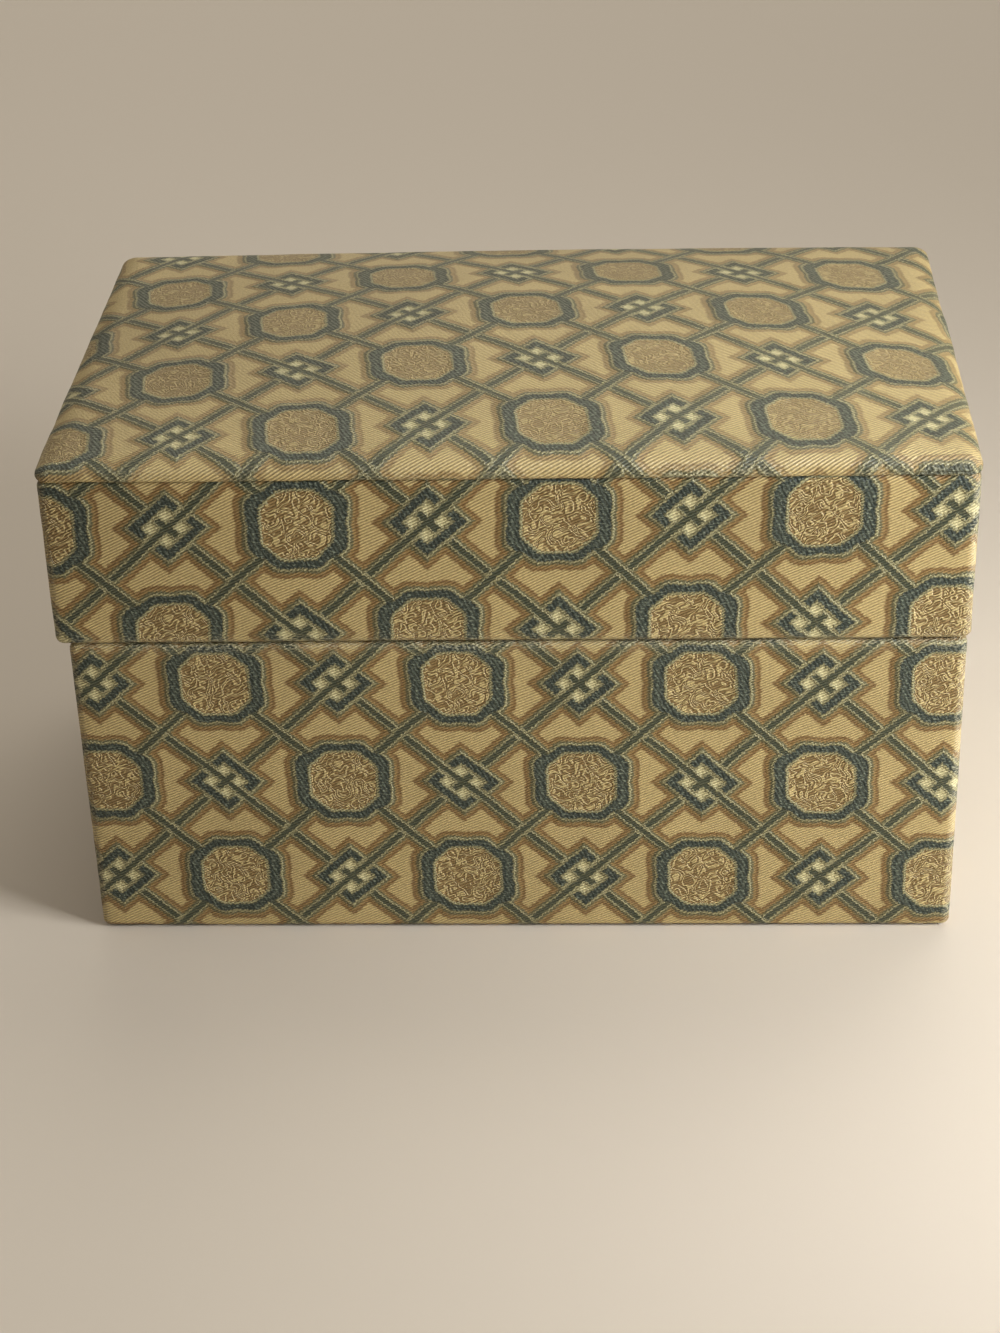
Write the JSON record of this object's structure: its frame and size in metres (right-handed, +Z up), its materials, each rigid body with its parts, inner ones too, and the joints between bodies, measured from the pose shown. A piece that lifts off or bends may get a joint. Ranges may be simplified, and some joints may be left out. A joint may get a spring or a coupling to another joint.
{
  "type": "brocade box",
  "caption": "Rectangular card box covered in woven silk brocade, with a cloth-hinged lid, a padded lid panel and a cushioned satin lining.",
  "frame": {"origin": "middle of the base's underside, on the surface that the box stands on", "axes": "+Z up, front faces -Y, +X to the right as seen from the front, along the hinge"},
  "size_m": [0.155, 0.0962, 0.0976],
  "materials": {
    "brocade": "woven silk brocade, gold ground with blue-green figures",
    "satin": "smooth gold satin",
    "grey_board": "matte grey board",
    "card": "matte card",
    "wadding": "soft cotton wadding",
    "underside_paper": "matte dark blue paper"
  },
  "bodies": {
    "base": {"base_front_board": "grey_board", "base_back_board": "grey_board", "base_left_board": "grey_board", "base_right_board": "grey_board", "base_floor_board": "grey_board", "base_brocade": "brocade", "base_back_brocade": "brocade", "base_underside_paper": "underside_paper", "base_front_lining": "satin", "base_back_lining": "satin", "base_left_lining": "satin", "base_right_lining": "satin", "base_cushion_card": "card", "base_cushion": "satin", "base_hinge_lining": "satin"},
    "lid": {"lid_front_board": "grey_board", "lid_back_board": "grey_board", "lid_left_board": "grey_board", "lid_right_board": "grey_board", "lid_deck_board": "grey_board", "lid_brocade": "brocade", "lid_back_brocade": "brocade", "panel_card": "card", "panel_wadding": "wadding", "panel_brocade": "brocade", "lid_front_lining": "satin", "lid_back_lining": "satin", "lid_left_lining": "satin", "lid_right_lining": "satin", "lid_cushion_card": "card", "lid_cushion": "satin", "lid_hinge_lining": "satin"}
  },
  "joints": [
    {"name": "lid_hinge", "type": "hinge", "parent": "base", "child": "lid", "pos_m": [0, 0.0475, 0.05895], "axis": [-1, 0, 0], "range_deg": [0, 105]}
  ]
}
